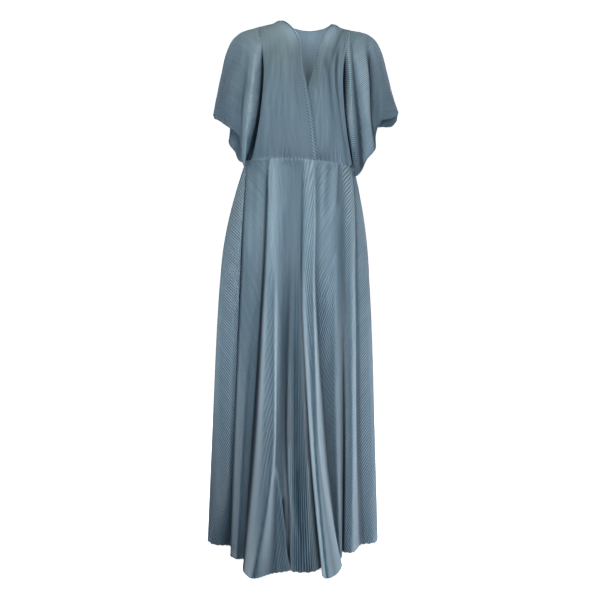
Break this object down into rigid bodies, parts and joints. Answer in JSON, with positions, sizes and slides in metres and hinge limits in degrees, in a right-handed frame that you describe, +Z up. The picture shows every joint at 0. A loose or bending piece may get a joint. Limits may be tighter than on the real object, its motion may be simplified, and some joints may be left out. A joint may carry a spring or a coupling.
{
  "type": "pleated maxi dress",
  "caption": "Floor-length dress in fine accordion pleats, with a lapped V-neck bodice, kimono sleeves cut in one, a gathered waist seam and a flared skirt with deep folds.",
  "frame": {"origin": "midway between the two neck points of the shoulder seams, where the wearer's shoulders carry the dress", "axes": "+Z up, -Y the way the front faces, +X the viewer's right as one looks at the front"},
  "size_m": [0.5321, 0.5544, 1.4591],
  "materials": {
    "bodice_front_right_cloth": "soft satin in fine pressed pleats",
    "bodice_front_left_cloth": "soft satin in fine pressed pleats",
    "bodice_back_cloth": "soft satin in fine pressed pleats",
    "skirt_front_cloth": "soft satin in fine pressed pleats",
    "skirt_back_cloth": "soft satin in fine pressed pleats"
  },
  "bodies": {
    "root": {"bodice_front_right": "bodice_front_right_cloth", "bodice_front_left": "bodice_front_left_cloth", "bodice_back": "bodice_back_cloth", "skirt_front": "skirt_front_cloth", "skirt_back": "skirt_back_cloth"}
  },
  "joints": []
}
